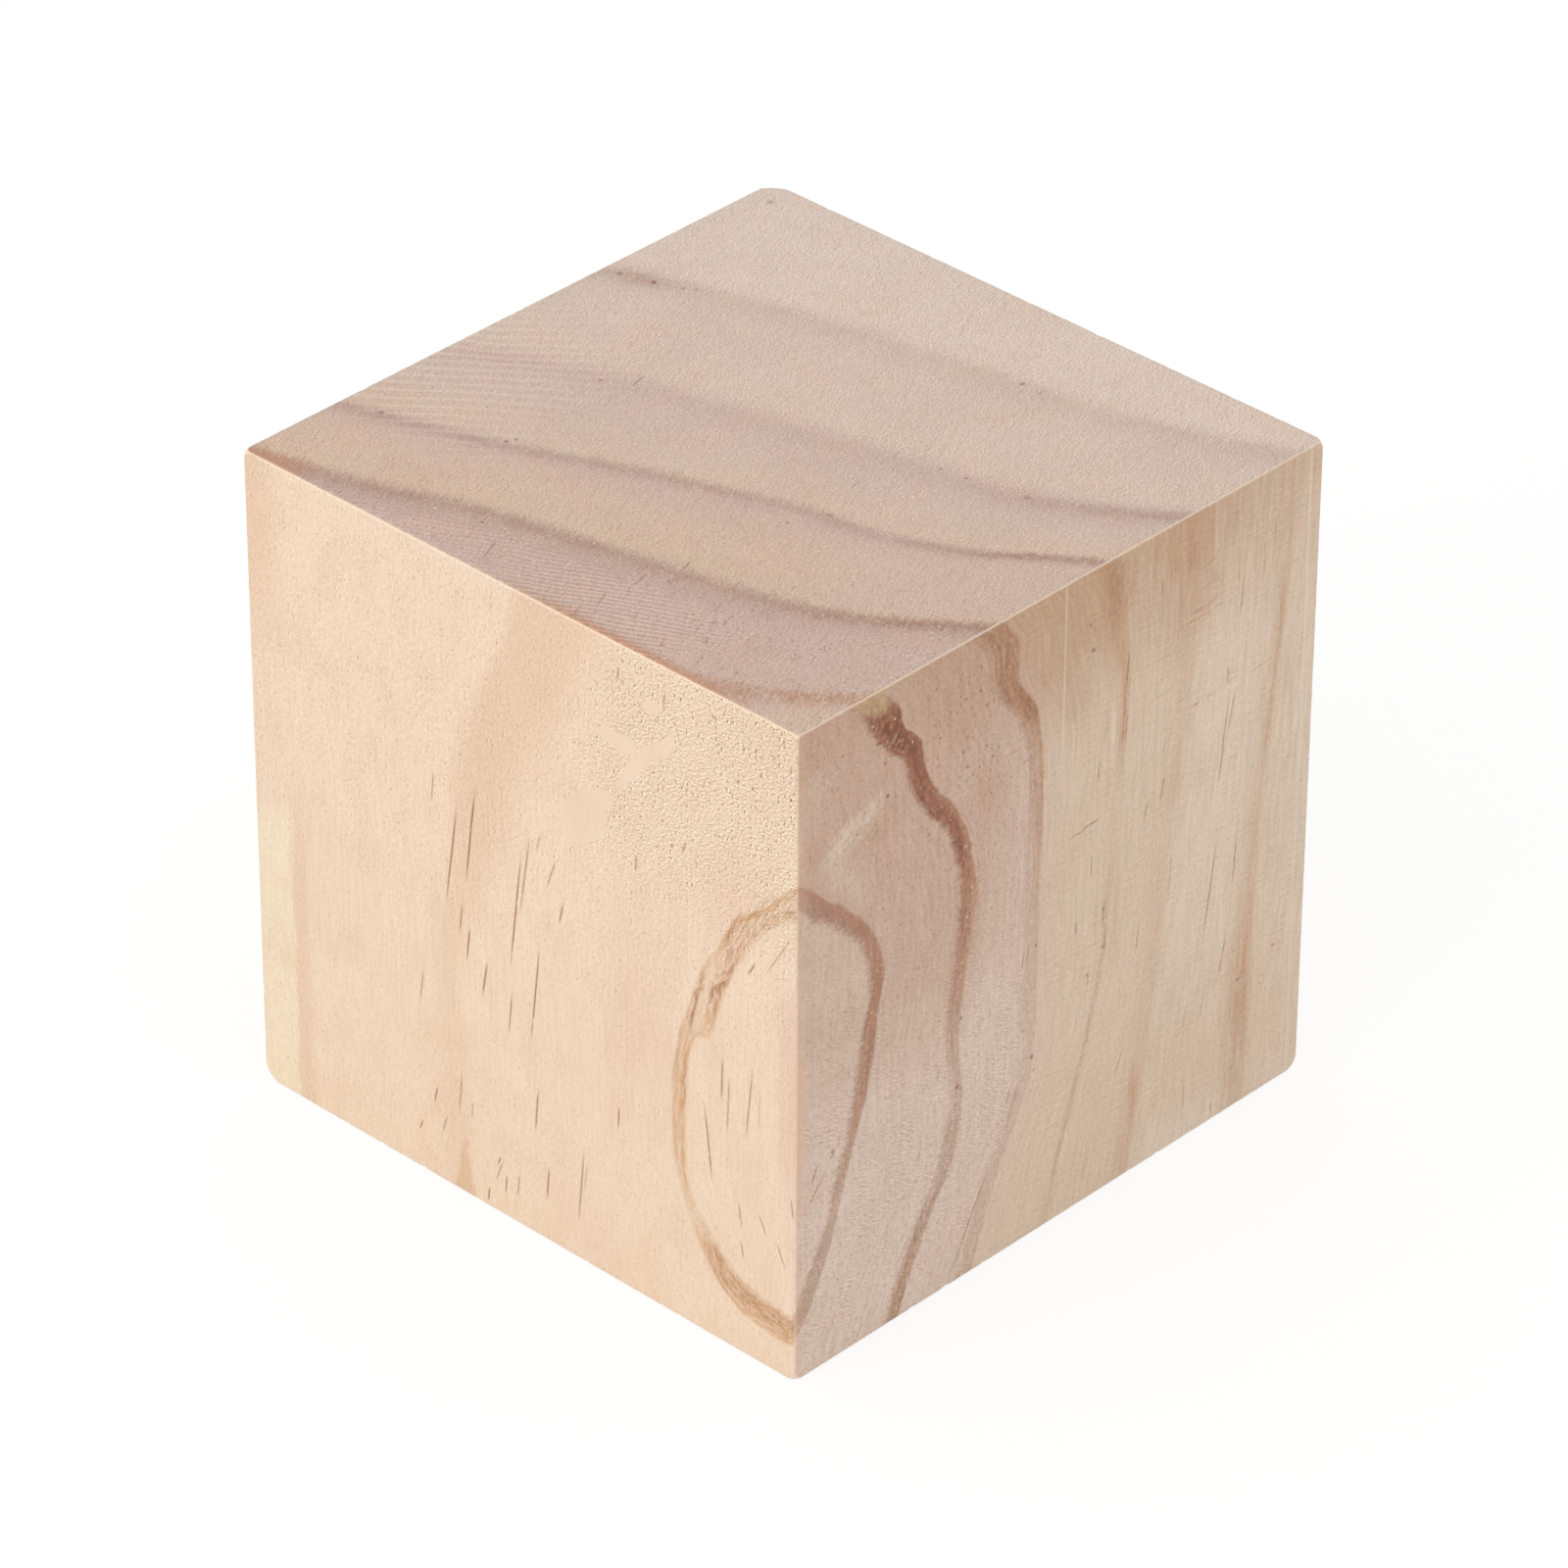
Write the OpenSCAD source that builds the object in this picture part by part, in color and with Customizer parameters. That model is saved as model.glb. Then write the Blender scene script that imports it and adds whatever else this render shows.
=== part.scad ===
// Wooden cube: a solid softwood block, cross-cut from planed square stock.
// The fibres run up and down, so the top and the bottom are end grain.
// Every edge is eased, and each corner is worn back on its own: three points
// on its edges fix a ball, and the corner keeps only what lies inside the ball.
// The origin is the middle of the bottom face, with +Z up and the front at -Y.

/* [Block] */
// Length of every side of the cube
side = 60; // [20:1:150]
// Radius of the eased edges
edge_round = 0.3; // [0.1:0.1:1.5]

/* [Worn top corners] */
// Wear along the edges at the top front left corner, past the eased edge
top_front_left_wear = 0.3; // [0.3:0.1:5]
// Wear along the edges at the top front right corner
top_front_right_wear = 0.9; // [0.3:0.1:5]
// Wear along the edges at the top back left corner
top_back_left_wear = 0.7; // [0.3:0.1:5]

/* [Knocked top back right corner] */
// How far the knock reaches along the back edge
knock_along_back = 1.5; // [0.3:0.1:5]
// How far the knock reaches along the right edge
knock_along_right = 2.9; // [0.3:0.1:5]
// How far the knock reaches down the upright edge
knock_down = 1.5; // [0.3:0.1:5]

/* [Worn bottom corners] */
// Wear along the edges at the bottom front left corner
bottom_front_left_wear = 0.9; // [0.3:0.1:5]
// Wear along the edges at the bottom front right corner
bottom_front_right_wear = 1.2; // [0.3:0.1:5]
// Wear along the edges at the bottom back left corner
bottom_back_left_wear = 1.6; // [0.3:0.1:5]
// Wear along the edges at the bottom back right corner
bottom_back_right_wear = 1; // [0.3:0.1:5]

/* [Hidden] */

// Softwood colour
softwood = [0.87, 0.76, 0.66];
// Tangent from a sharp corner to its ball, as a share of the longest reach:
// at 1 the ball would only graze the edges, and more makes the wear flatter
flatness = 1.5;
// What a cutter or a bar stands out past the block, so that no faces coincide
spill = 1;
// A $fn that keeps circles and balls round
smooth = 96;

// The two sides of an axis, as the sign of a corner's coordinate
LOW = -1;
HIGH = 1;

// Each corner's place, as signs from the middle, and its wear along X, Y and Z
CORNERS = [
    [[LOW, LOW, HIGH], top_front_left_wear * [1, 1, 1]],
    [[HIGH, LOW, HIGH], top_front_right_wear * [1, 1, 1]],
    [[LOW, HIGH, HIGH], top_back_left_wear * [1, 1, 1]],
    [[HIGH, HIGH, HIGH], [knock_along_back, knock_along_right, knock_down]],
    [[LOW, LOW, LOW], bottom_front_left_wear * [1, 1, 1]],
    [[HIGH, LOW, LOW], bottom_front_right_wear * [1, 1, 1]],
    [[LOW, HIGH, LOW], bottom_back_left_wear * [1, 1, 1]],
    [[HIGH, HIGH, LOW], bottom_back_right_wear * [1, 1, 1]]
];

// Each part of a place times the same part of another
function along(at, v) = [for (i = [0:2]) at[i] * v[i]];

// Cross-section of the planed stock: a square whose corners are quarter rounds
module eased_square() {
    flat = side - 2 * edge_round;
    square([side, flat], center = true);
    square([flat, side], center = true);
    for (x = [LOW, HIGH], y = [LOW, HIGH])
        translate([x, y] * flat / 2)
            circle(r = edge_round, $fn = smooth);
}

// A length of that stock along Z, longer than the block
module bar() {
    linear_extrude(height = side + 2 * spill, center = true)
        eased_square();
}

// The block before wear: what the same bar shares along Z, X and Y,
// so that all twelve edges are eased alike
module eased_block() {
    intersection() {
        bar();
        rotate([0, 90, 0]) bar();
        rotate([90, 0, 0]) bar();
    }
}

// What wear takes off one corner. The ball meets the three edge lines at
// their reaches, which the power of the sharp corner fixes: reach times the
// ball's far crossing is the tangent squared on every edge.
module worn_off(at, wear) {
    reach = [for (w = wear) w + edge_round];
    tangent = flatness * max(reach);
    centre = [for (r = reach) (r * r + tangent * tangent) / (2 * r)];
    ball_r = sqrt(centre * centre - tangent * tangent);
    corner = at * side / 2;
    difference() {
        translate(corner - along(at, [for (r = reach) (r - spill) / 2]))
            cube([for (r = reach) r + spill], center = true);
        translate(corner - along(at, centre))
            sphere(r = ball_r, $fn = smooth);
    }
}

// The finished block, standing on its bottom face
module wooden_cube() {
    color(softwood)
        translate([0, 0, side / 2])
            difference() {
                eased_block();
                for (c = CORNERS)
                    worn_off(c[0], c[1]);
            }
}

wooden_cube();
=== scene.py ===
from math import cos, pi, radians, sin

import bmesh
import bpy
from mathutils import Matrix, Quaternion, Vector


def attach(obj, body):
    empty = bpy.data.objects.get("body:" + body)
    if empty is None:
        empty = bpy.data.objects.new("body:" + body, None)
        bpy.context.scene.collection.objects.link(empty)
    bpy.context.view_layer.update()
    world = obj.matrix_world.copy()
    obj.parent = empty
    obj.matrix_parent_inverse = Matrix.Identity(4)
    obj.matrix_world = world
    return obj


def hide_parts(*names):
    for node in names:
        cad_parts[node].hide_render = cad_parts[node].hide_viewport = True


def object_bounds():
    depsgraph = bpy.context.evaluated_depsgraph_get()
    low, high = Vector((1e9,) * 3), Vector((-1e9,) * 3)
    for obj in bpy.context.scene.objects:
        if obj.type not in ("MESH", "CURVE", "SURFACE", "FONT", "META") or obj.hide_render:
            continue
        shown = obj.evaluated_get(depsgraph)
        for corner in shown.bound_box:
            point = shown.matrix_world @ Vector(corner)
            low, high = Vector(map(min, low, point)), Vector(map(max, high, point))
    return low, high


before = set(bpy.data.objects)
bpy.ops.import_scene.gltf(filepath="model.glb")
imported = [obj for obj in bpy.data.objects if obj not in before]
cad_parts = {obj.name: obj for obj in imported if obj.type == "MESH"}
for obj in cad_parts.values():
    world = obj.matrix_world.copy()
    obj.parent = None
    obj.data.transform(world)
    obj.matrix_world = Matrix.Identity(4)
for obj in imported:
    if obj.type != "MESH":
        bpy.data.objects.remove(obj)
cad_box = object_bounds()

MM = 0.001
scene = bpy.context.scene
scene.view_settings.view_transform = "Standard"


# Camera. It stands well back with a long lens, a little above the block and off its
# front left edge, so that the left side, the front and the top show together.
AIM = Vector((-0.61, -0.7, 28.79)) * MM
DISTANCE = 673.4 * MM
LENS = 192.6
SENSOR_WIDTH = 36
AZIMUTH = radians(-46.49)
ELEVATION = radians(33.08)
ROLL = radians(0.25)

back = Vector((sin(AZIMUTH) * cos(ELEVATION), -cos(AZIMUTH) * cos(ELEVATION), sin(ELEVATION)))
camera = bpy.data.objects.new("camera", bpy.data.cameras.new("camera"))
camera.data.sensor_width = SENSOR_WIDTH
camera.data.lens = LENS
camera.location = AIM + DISTANCE * back
camera.rotation_euler = (Quaternion(back, ROLL) @ back.to_track_quat("Z", "Y")).to_euler()
scene.collection.objects.link(camera)
scene.camera = camera


# Floor and studio light. The block stands on white paper in an evenly lit white room,
# with one wide soft lamp at its left.
def two_terms(operation, swapped=False):
    """A method that adds a Math node of two terms, swapped in the reflected forms."""
    def method(self, other):
        return self.maths(operation, *((other, self) if swapped else (self, other)))

    return method


class Wire:
    """What comes out of a node. Arithmetic on wires adds the Math nodes that work it out."""

    def __init__(self, tree, socket=None):
        self.tree = tree
        self.socket = socket

    def node(self, kind, settings=None, inputs=None, output=0):
        """Adds a node: its settings first, then the values or the wires of its sockets."""
        node = self.tree.nodes.new(kind)
        for name, value in (settings or {}).items():
            if name == "points":
                line = node.mapping.curves[0]
                while len(line.points) < len(value):
                    line.points.new(0.5, 0.5)
                for point, place in zip(line.points, value):
                    point.location = place
                node.mapping.update()
            elif name == "stops":
                band = node.color_ramp.elements
                while len(band) < len(value):
                    band.new(1)
                for stop, (position, colour) in zip(band, value):
                    stop.position = position
                    stop.color = colour
            else:
                setattr(node, name, value)
        for name, value in (inputs or {}).items():
            if isinstance(value, Wire):
                self.tree.links.new(value.socket, node.inputs[name])
            else:
                node.inputs[name].default_value = value
        return Wire(self.tree, node.outputs[output]) if node.outputs else None

    def other(self, output):
        """Another output of the node that this wire comes out of."""
        return Wire(self.tree, self.socket.node.outputs[output])

    def maths(self, operation, *terms):
        return self.node("ShaderNodeMath", {"operation": operation}, dict(enumerate(terms)))

    __add__ = __radd__ = two_terms("ADD")
    __sub__ = two_terms("SUBTRACT")
    __rsub__ = two_terms("SUBTRACT", swapped=True)
    __mul__ = __rmul__ = two_terms("MULTIPLY")
    __truediv__ = two_terms("DIVIDE")
    __rtruediv__ = two_terms("DIVIDE", swapped=True)
    __pow__ = two_terms("POWER")
    higher = two_terms("MAXIMUM")

    def __abs__(self):
        return self.maths("ABSOLUTE", self)

    def __neg__(self):
        return self * -1

    def rise(self, start, end, step="SMOOTHSTEP"):
        """0 up to start and 1 from end on, with a smooth step between them."""
        values = {"Value": self, "From Min": start, "From Max": end}
        return self.node("ShaderNodeMapRange", {"interpolation_type": step}, values)

    def fall(self, start, end):
        """1 up to start and 0 from end on, with a smooth step between them."""
        return 1 - self.rise(start, end)

    def band(self, start, full, waning, end):
        """1 from full to waning, with a smooth step up to it and down after it."""
        return self.rise(start, full) * self.fall(waning, end)

    def swing(self, size):
        """Noise, which lies about 0.5, as a swing of a size about 0."""
        return (self - 0.5) * size

    def vector(self, operation, *terms, output=0):
        return self.node("ShaderNodeVectorMath", {"operation": operation}, dict(enumerate(terms)), output)

    def scaled(self, vector, size):
        return self.node("ShaderNodeVectorMath", {"operation": "SCALE"}, {0: vector, "Scale": size})

    def parts(self):
        """The three numbers of a vector."""
        split = self.node("ShaderNodeSeparateXYZ", inputs={"Vector": self})
        return split, split.other("Y"), split.other("Z")

    def join(self, x, y, z):
        return self.node("ShaderNodeCombineXYZ", inputs={"X": x, "Y": y, "Z": z})


def new_material(name):
    """A material with an empty tree, and a wire to build in it."""
    material = bpy.data.materials.new(name)
    material.use_nodes = True
    material.node_tree.nodes.clear()
    return material, Wire(material.node_tree)


def soft_lamp(name, direction, distance, size, watts, colour):
    """A square lamp that faces the block from a direction."""
    lamp = bpy.data.objects.new(name, bpy.data.lights.new(name, "AREA"))
    lamp.data.size = size
    lamp.data.energy = watts
    lamp.data.color = colour
    direction = Vector(direction).normalized()
    lamp.location = distance * direction
    lamp.rotation_euler = direction.to_track_quat("Z", "Y").to_euler()
    scene.collection.objects.link(lamp)


def looked_at(tree):
    """1 for what is seen, straight or in a reflection, and 0 for what only gives light."""
    ray = tree.node("ShaderNodeLightPath", output="Is Camera Ray")
    return ray.higher(ray.other("Is Glossy Ray")).higher(ray.other("Is Transmission Ray"))


# The paper glows for a share of its look, which keeps it evenly white, and it lies a
# hair under the block, so that it and the base don't share a plane
ROOM_LIGHT = 0.81
PAPER = (0.88, 0.88, 0.88, 1)
PAPER_GLOW = 0.75
PAPER_WHITE = 1.08
PAPER_HALF = 3
CLEAR = 0.02 * MM

paper, sheet = new_material("paper")
matt = sheet.node("ShaderNodeBsdfDiffuse", inputs={"Color": PAPER})
glow = sheet.node("ShaderNodeEmission", inputs={"Color": (1, 1, 1, 1), "Strength": PAPER_WHITE})
lit = sheet.node("ShaderNodeMixShader", inputs={0: looked_at(sheet) * PAPER_GLOW, 1: matt, 2: glow})
sheet.node("ShaderNodeOutputMaterial", inputs={"Surface": lit})

floor_mesh = bpy.data.meshes.new("floor")
floor_corners = [(-1, -1), (1, -1), (1, 1), (-1, 1)]
floor_corners = [(x * PAPER_HALF, y * PAPER_HALF, -CLEAR) for x, y in floor_corners]
floor_mesh.from_pydata(floor_corners, [], [(0, 1, 2, 3)])
floor_mesh.materials.append(paper)
floor = bpy.data.objects.new("floor", floor_mesh)
scene.collection.objects.link(floor)

scene.world = bpy.data.worlds.new("white room")
scene.world.use_nodes = True
room = Wire(scene.world.node_tree)
room.tree.nodes.clear()
level = looked_at(room) * (1 - ROOM_LIGHT) + ROOM_LIGHT
air = room.node("ShaderNodeBackground", inputs={"Color": (1, 1, 1, 1), "Strength": level})
room.node("ShaderNodeOutputWorld", inputs={"Surface": air})

soft_lamp("left lamp", (-1, 0.15, 0.4), distance=1.3, size=0.9, watts=6.3, colour=(1, 0.98, 0.95))


# The block: one piece of softwood sawn square, planed and cut across. Its edges are
# eased, its corners are worn, and small splinters have come off along the edges.
SIDE = cad_box[1].z - cad_box[0].z
EDGE_ROUND = 0.3 * MM
FLATNESS = 1.25
CREASE = 0.15 * MM
RAGGED = 0.25
RAGS_PER_METRE = 900.0
CELLS = 30

LEFT, FRONT, BASE = -1, -1, -1
RIGHT, REAR, TOP = 1, 1, 1
WEAR = {
    "Top front left": ((LEFT, FRONT, TOP), (0.3, 0.3, 0.3)),
    "Top front right": ((RIGHT, FRONT, TOP), (0.8, 0.8, 0.8)),
    "Top back left": ((LEFT, REAR, TOP), (0.7, 0.7, 0.7)),
    "Top back right": ((RIGHT, REAR, TOP), (1.5, 2.3, 1.3)),
    "Bottom front left": ((LEFT, FRONT, BASE), (0.9, 0.9, 0.9)),
    "Bottom front right": ((RIGHT, FRONT, BASE), (1.2, 1.2, 1.2)),
    "Bottom back left": ((LEFT, REAR, BASE), (1.6, 1.6, 1.6)),
    "Bottom back right": ((RIGHT, REAR, BASE), (1, 1, 1)),
}

# How near to an edge and to a corner the cells are halved, time after time, in mm
HALVED_WITHIN = [(4, 9), (2, 6), (1, 4.5), (0.38, 2.5)]

# Splinters: place from the middle of the block, half width and extra rounding, in mm
SPLINTERS = [
    ((30, 23.4, 30), 0.5, 0.15), ((30, 1.2, 30), 0.4, 0.12), ((30, -6.3, 30), 0.55, 0.16),
    ((30, -20.7, 30), 0.45, 0.12), ((-17, 30, 30), 0.6, 0.12), ((0.6, 30, 30), 0.5, 0.1),
    ((12.6, -30, -30), 0.4, 0.12), ((9.3, -30, -30), 0.5, 0.12), ((-8.1, -30, -30), 0.5, 0.16),
    ((-12.6, -30, -30), 0.5, 0.3), ((-16.5, -30, -30), 0.5, 0.14), ((-30, -17.4, -30), 0.5, 0.12),
    ((-30, -7.2, -30), 0.4, 0.12), ((-30, 11.4, -30), 0.6, 0.18), ((-30, 16.2, -30), 0.5, 0.12),
    ((-30, 26.4, -30), 0.4, 0.1), ((-30, 30, -21.3), 0.7, 0.12),
]


def sawn_blank(side, cells):
    """A cube of square cells, halved again and again towards its edges and corners."""
    mesh = bmesh.new()
    bmesh.ops.create_cube(mesh, size=side)
    bmesh.ops.subdivide_edges(mesh, edges=mesh.edges[:], cuts=cells - 1, use_grid_fill=True)
    for to_edge, to_corner in HALVED_WITHIN:
        near = set()
        for face in mesh.faces:
            gaps = sorted(side / 2 - abs(c) for c in face.calc_center_median())
            if gaps[1] < to_edge * MM or (gaps[2] < to_corner * MM and gaps[1] < to_corner * MM):
                near.update(face.edges)
        bmesh.ops.subdivide_edges(mesh, edges=list(near), cuts=1, use_grid_fill=True)
    bmesh.ops.recalc_face_normals(mesh, faces=mesh.faces[:])
    blank = bpy.data.meshes.new("softwood_block")
    mesh.to_mesh(blank)
    mesh.free()
    return blank


def new_group(name, inputs, outputs):
    """An empty Geometry Nodes group with named sockets, and a wire from its first input."""
    group = bpy.data.node_groups.new(name, "GeometryNodeTree")
    for side_of_group, sockets in (("INPUT", inputs), ("OUTPUT", outputs)):
        for label, kind in sockets.items():
            group.interface.new_socket(label, in_out=side_of_group, socket_type="NodeSocket" + kind)
    return Wire(group).node("NodeGroupInput")


def worn_corner():
    """Takes a point that lies outside a corner's ball back to the ball."""
    inputs = {"Position": "Vector", "Corner": "Vector", "Wear": "Vector"}
    inputs.update({"Side": "Float", "Edge round": "Float", "Flatness": "Float", "Crease": "Float"})
    point = new_group("worn corner", inputs, {"Position": "Vector"})
    corner = point.other("Corner")
    half = point.other("Side") * 0.5
    reach = point.vector("ADD", point.other("Wear"), point.other("Edge round"))
    x, y, z = reach.parts()
    tangent = x.higher(y).higher(z) * point.other("Flatness")
    power = point.vector("ADD", point.vector("MULTIPLY", reach, reach), tangent * tangent)
    centre = point.vector("DIVIDE", power, point.vector("MULTIPLY", reach, (2, 2, 2)))
    radius = (point.vector("DOT_PRODUCT", centre, centre, output="Value") - tangent * tangent) ** 0.5
    ball = point.vector("MULTIPLY", corner, point.vector("SUBTRACT", half, centre))
    spoke = point.vector("SUBTRACT", point, ball)
    length = point.vector("LENGTH", spoke, output="Value")
    proud = point.node(
        "ShaderNodeMath",
        {"operation": "SMOOTH_MAX"},
        {0: length - radius, 1: 0.0, 2: point.other("Crease")},
    )
    x, y, z = point.vector("SUBTRACT", half, point.vector("MULTIPLY", corner, point)).parts()
    near = x.higher(y).higher(z).fall(tangent * 0.9, tangent * 1.1)
    cut = point.scaled(spoke, proud * near / length)
    point.node("NodeGroupOutput", inputs={0: point.vector("SUBTRACT", point, cut)})
    return point.tree


def splinter():
    """How much more an edge is rounded where a splinter has come off it."""
    inputs = {"Position": "Vector", "Place": "Vector", "Half width": "Float", "Depth": "Float"}
    point = new_group("splinter", inputs, {"Rounding": "Float"})
    gap = point.vector("DISTANCE", point, point.other("Place"), output="Value")
    point.node("NodeGroupOutput", inputs={0: point.other("Depth") * gap.fall(0.0, point.other("Half width"))})
    return point.tree


def shaped_block(material):
    """The rule that turns the sawn blank into the eased and worn block."""
    sizes = {"Side": "Float", "Edge round": "Float", "Flatness": "Float", "Crease": "Float"}
    inputs = {"Blank": "Geometry", **sizes, "Ragged": "Float", "Seed": "Float"}
    inputs.update({name + " wear": "Vector" for name in WEAR})
    blank = new_group("eased and worn block", inputs, {"Block": "Geometry"})
    shared = {name: blank.other(name) for name in sizes}
    centre = blank.join(0.0, 0.0, blank.other("Side") * 0.5)
    place = blank.node("GeometryNodeInputPosition")

    grain = blank.node(
        "ShaderNodeTexNoise",
        {"noise_dimensions": "4D"},
        {"Vector": place, "W": blank.other("Seed"), "Scale": RAGS_PER_METRE, "Detail": 2.0},
    )
    rounding = blank.other("Edge round") * (1 + (grain - 0.35) * 2 * blank.other("Ragged"))
    chip = splinter()
    for spot, half_width, depth in SPLINTERS:
        values = {"Position": place, "Place": Vector(spot) * MM}
        values.update({"Half width": half_width * MM, "Depth": depth * MM})
        rounding = rounding + blank.node("GeometryNodeGroup", {"node_tree": chip}, values)

    inner = blank.other("Side") * 0.5 - rounding
    core = blank.vector("MINIMUM", blank.vector("MAXIMUM", place, -inner), inner)
    spoke = blank.vector("SUBTRACT", place, core)
    length = blank.vector("LENGTH", spoke, output="Value")
    eased = blank.vector("ADD", core, blank.scaled(spoke, rounding / length))
    corner_group = worn_corner()
    for name, (corner, _) in WEAR.items():
        values = {"Position": eased, "Corner": corner, "Wear": blank.other(name + " wear"), **shared}
        eased = blank.node("GeometryNodeGroup", {"node_tree": corner_group}, values)

    standing = blank.vector("ADD", eased, centre)
    block = blank.node("GeometryNodeSetPosition", inputs={"Geometry": blank, "Position": standing})
    block = block.node("GeometryNodeSetShadeSmooth", inputs={"Geometry": block, "Shade Smooth": True})
    block = block.node("GeometryNodeRealizeInstances", inputs={"Geometry": block})
    block = block.node("GeometryNodeSetMaterial", inputs={"Geometry": block, "Material": material})
    block.node("NodeGroupOutput", inputs={0: block})
    return block.tree


# The finish of the block: bare planed softwood, shown as growth rings in the solid, so
# that each line runs on over the edges. Its colour also holds painted highlights on the
# edges, specks and glints, and painted light and shade on fine bumps. Lengths are in mm
# from the front left corner of the base: x to the right, y to the back, z up along the fibres.
def srgb(red, green, blue):
    """A colour given as it shows on a screen, as the shader wants it."""
    parts = [c / 255 for c in (red, green, blue)]
    return (*(c / 12.92 if c < 0.04045 else ((c + 0.055) / 1.055) ** 2.4 for c in parts), 1)


SIDE_MM = round(SIDE / MM)
MIDDLE = (SIDE_MM / 2, SIDE_MM / 2, 0)

# Shares of a unit normal along one axis. The largest falls through ON_EDGE from a flat
# side to an eased edge, the upright one rises through BY_END near an end, and a side's
# own skin begins where its share rises through NEXT_SKIN
ON_EDGE = (0.75, 0.98)
BY_END = (0.1, 0.35)
NEXT_SKIN = (0.66, 0.75)

softwood, wood = new_material("softwood")
place = wood.node("ShaderNodeTexCoord", output="Object")
facing = place.other("Normal")
spot = wood.node(
    "ShaderNodeMapping",
    inputs={"Vector": place, "Location": MIDDLE, "Scale": (1 / MM, 1 / MM, 1 / MM)},
)
x, y, z = spot.parts()
tilt_x, tilt_y, tilt_z = (abs(part) for part in facing.parts())
edge = tilt_x.higher(tilt_y).higher(tilt_z).fall(*ON_EDGE)
by_end = tilt_z.rise(*BY_END)


def curve(value, points, start=0, end=SIDE_MM):
    """A smooth line through (place, height) points, with places from the start to the end."""
    low = min(h for _, h in points)
    high = max(h for _, h in points)
    shares = [((p - start) / (end - start), (h - low) / (high - low)) for p, h in points]
    share = (value - start) / (end - start)
    line = value.node("ShaderNodeFloatCurve", {"points": shares}, {"Value": share})
    return line * (high - low) + low


def noise(where, size, stretch=(1, 1, 1), detail=1.0, shift=0.0):
    """Noise of a size in mm, longer along an axis where the stretch is more than 1."""
    scaled = where.vector("MULTIPLY_ADD", where, tuple(1 / (size * s) for s in stretch), (shift,) * 3)
    return where.node("ShaderNodeTexNoise", {}, {"Vector": scaled, "Scale": 1.0, "Detail": detail})


def turned(axis, angle):
    """The place on the block, turned about one axis, for a texture that runs askew."""
    settings = {"rotation_type": axis + "_AXIS"}
    return spot.node("ShaderNodeVectorRotate", settings, {"Vector": spot, "Angle": radians(angle)})


def over(base, colour, amount, blend="MIX"):
    """A colour laid over a base colour, by an amount from 0 to 1."""
    settings = {"data_type": "RGBA", "blend_type": blend}
    return spot.node("ShaderNodeMix", settings, {0: amount, 6: base, 7: colour}, 2)


def shade(colour, change):
    """A colour made darker and warmer, or lighter and cooler, by a change near 0."""
    tint = spot.scaled((0.8, 1.0, 1.3), change)
    return over(colour, spot.vector("ADD", tint, (1, 1, 1)), 1, "MULTIPLY")


class Coat:
    """The colour of one skin of the wood, built up layer by layer."""

    def __init__(self, colour):
        self.colour = colour

    def lay(self, colour, amount, blend="MIX"):
        self.colour = over(self.colour, colour, amount, blend)

    def shade(self, change):
        self.colour = shade(self.colour, change)


def relief(where, size, lean, stretch=(1, 1, 1), shift=0.0):
    """Fine bumps seen in light from one side: light on the near slopes, dark on the far ones."""
    moved = where.vector("ADD", where, lean)
    return noise(moved, size, stretch, 1.0, shift) - noise(where, size, stretch, 1.0, shift)


def ellipse(across, up, centre, reach, soft=1):
    """1 in the middle of an ellipse on a face and 0 outside it."""
    flat = spot.join(across, up, 0.0)
    middle = (-centre[0] / reach[0], -centre[1] / reach[1], 0)
    off = flat.vector("MULTIPLY_ADD", flat, (1 / reach[0], 1 / reach[1], 0), middle)
    return off.vector("LENGTH", off, output="Value").fall((1 - soft) ** 0.5, 1)


def dots(across, up, spots):
    """Small round marks on a face: across, up, radius and strength of each."""
    flat = spot.join(across, up, 0.0)
    total = 0
    for u, v, radius, strength in spots:
        gap = flat.vector("DISTANCE", flat, (u, v, 0), output="Value")
        total = gap.fall(radius * 0.4, radius) * strength + total
    return total


def fading(value, start, end):
    """Three values at once: 1 up to their starts and 0 from their ends on."""
    settings = {"data_type": "FLOAT_VECTOR", "interpolation_type": "SMOOTHSTEP"}
    inputs = {6: value, 7: start, 8: end, 9: (1, 1, 1), 10: (0, 0, 0)}
    return value.node("ShaderNodeMapRange", settings, inputs, 1)


def strokes(across, up, lines, width):
    """Fine straight marks: across and up at one end, then at the other, and strength.

    They are taken three at a time, one in each part of a vector.
    """
    across3 = spot.join(across, across, across)
    up3 = spot.join(up, up, up)
    total = 0
    for first in range(0, len(lines), 3):
        three = (lines[first:first + 3] + [(0, 1, 0, 0, 0)] * 2)[:3]
        lean = [(u1 - u2) / (v1 - v2) for u1, v1, u2, v2, _ in three]
        base = [u1 - k * v1 for (u1, v1, *_), k in zip(three, lean)]
        middle = [(v1 + v2) / 2 for _, v1, _, v2, _ in three]
        half = [abs(v1 - v2) / 2 for _, v1, _, v2, _ in three]
        line = up3.vector("MULTIPLY_ADD", up3, lean, base)
        off = up3.vector("ABSOLUTE", across3.vector("SUBTRACT", across3, line))
        near = fading(off, (0, 0, 0), (width,) * 3)
        away = up3.vector("ABSOLUTE", up3.vector("SUBTRACT", up3, middle))
        ends = fading(away, [h * 0.4 for h in half], [h + 0.2 for h in half])
        both = near.vector("MULTIPLY", near, ends)
        total = both.vector("DOT_PRODUCT", both, [strength for *_, strength in three], output="Value") + total
    return total


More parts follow.
